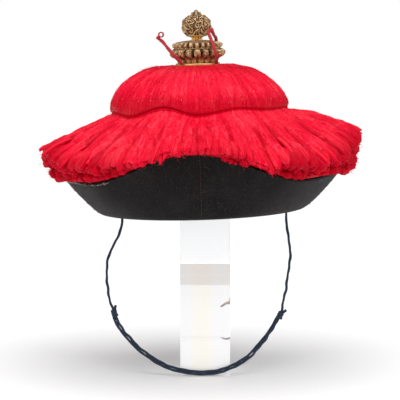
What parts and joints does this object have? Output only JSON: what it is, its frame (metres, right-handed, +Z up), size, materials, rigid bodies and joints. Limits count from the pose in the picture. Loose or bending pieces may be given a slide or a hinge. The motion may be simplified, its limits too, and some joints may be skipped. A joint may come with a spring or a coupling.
{
  "type": "court hat on a clear block stand",
  "caption": "Black felt court hat with upturned brim, red silk floss, gilt finial and a dark blue chin cord, standing on a tall clear block.",
  "frame": {"origin": "middle of the stand's foot, on the surface that it stands on", "axes": "+Z up, front of the hat towards -Y, +X to the right in the picture"},
  "size_m": [0.3259, 0.3016, 0.3704],
  "materials": {
    "felt": "matt pressed black felt with a short nap",
    "silk_floss": "bright red silk floss, combed, soft sheen",
    "gilt_metal": "worn gilt over brown metal, cast relief",
    "gold_plate": "brighter gilt, rubbed",
    "red_cord": "stiff waxed red cord",
    "navy_cord": "woven dark blue cord",
    "clear_block": "clear polished plastic",
    "grey_block": "clear plastic with a faint grey-brown tint"
  },
  "bodies": {
    "root": {"stand_foot_block": "clear_block", "stand_middle_block": "clear_block", "stand_grey_slab": "grey_block", "stand_top_block": "clear_block", "crown": "felt", "brim": "felt", "floss_cap": "silk_floss", "floss_skirt": "silk_floss", "waist_cord": "silk_floss", "finial_plate": "gold_plate", "finial_base": "gilt_metal", "finial_neck": "gold_plate", "finial_ball": "gilt_metal", "finial_tip": "gold_plate", "finial_post": "gilt_metal", "red_tie_left": "red_cord", "red_tie_right_front": "red_cord", "red_tie_right_back": "red_cord", "tie_knot_left": "red_cord", "tie_knot_right": "red_cord", "tie_loop_left": "red_cord", "chin_cord_left": "navy_cord", "chin_cord_right": "navy_cord", "chin_knot_left": "navy_cord", "chin_knot_right": "navy_cord"}
  },
  "joints": []
}
